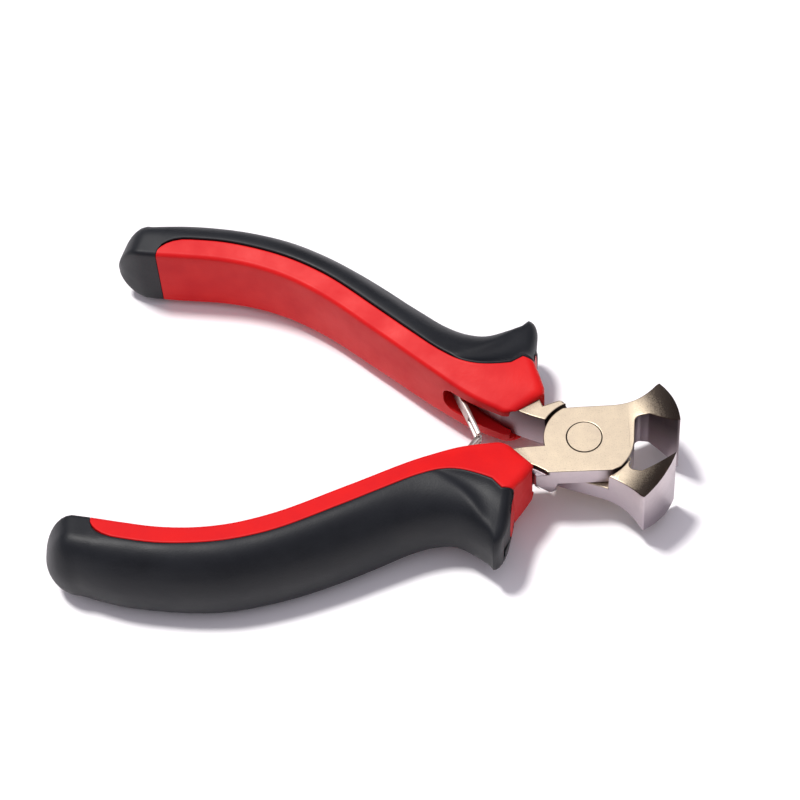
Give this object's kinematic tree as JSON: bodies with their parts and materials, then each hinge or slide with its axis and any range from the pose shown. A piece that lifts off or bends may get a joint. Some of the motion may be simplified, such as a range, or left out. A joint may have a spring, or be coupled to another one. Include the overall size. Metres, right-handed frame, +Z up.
{
  "type": "end cutter",
  "caption": "Mini end-cutting nipper with a lap joint, flared round-nosed jaws, a double leaf spring and bowed two-tone grips",
  "frame": {"origin": "centre of the bounding box's bottom face, with the tool lying on its side at its springs' free position", "axes": "+X towards the jaws, +Y towards the handle of lever b, +Z up, along the pivot"},
  "size_m": [0.1076, 0.0774, 0.0176],
  "materials": {
    "plated_steel": "satin nickel plating with fine speckle",
    "spring_steel": "bright spring steel",
    "red_sleeve": "satin red plastic",
    "black_overmould": "satin soft-touch black"
  },
  "bodies": {
    "lever_a_body": {"lever_a": "plated_steel", "pivot_rivet": "plated_steel", "sleeve_a": "red_sleeve", "overmould_a": "black_overmould", "leaf_foot_a": "spring_steel", "spring_rivet_a": "spring_steel"},
    "lever_b_body": {"lever_b": "plated_steel", "sleeve_b": "red_sleeve", "overmould_b": "black_overmould", "leaf_foot_b": "spring_steel", "spring_rivet_b": "spring_steel"},
    "leaf_arm_a": {"leaf_spring_a": "spring_steel"},
    "leaf_arm_b": {"leaf_spring_b": "spring_steel"}
  },
  "joints": [
    {"name": "handle_hinge", "type": "hinge", "parent": "lever_a_body", "child": "lever_b_body", "pos_m": [0.03729, 0, 0.00968], "axis": [0, 0, 1], "range_deg": [0, 21.2], "stiffness_Nm_per_rad": 1.5},
    {"name": "leaf_flex_a", "type": "hinge", "parent": "lever_a_body", "child": "leaf_arm_a", "pos_m": [0.01253, -0.01007, 0.00968], "axis": [0, 0, -1], "range_deg": [0, 20.2]},
    {"name": "leaf_flex_b", "type": "hinge", "parent": "lever_b_body", "child": "leaf_arm_b", "pos_m": [0.01253, 0.01007, 0.00968], "axis": [0, 0, 1], "range_deg": [0, 20.2]}
  ],
  "couplings": [
    {"joint": "leaf_flex_a", "follows": "handle_hinge", "ratio": 0.95},
    {"joint": "leaf_flex_b", "follows": "handle_hinge", "ratio": 0.95}
  ]
}
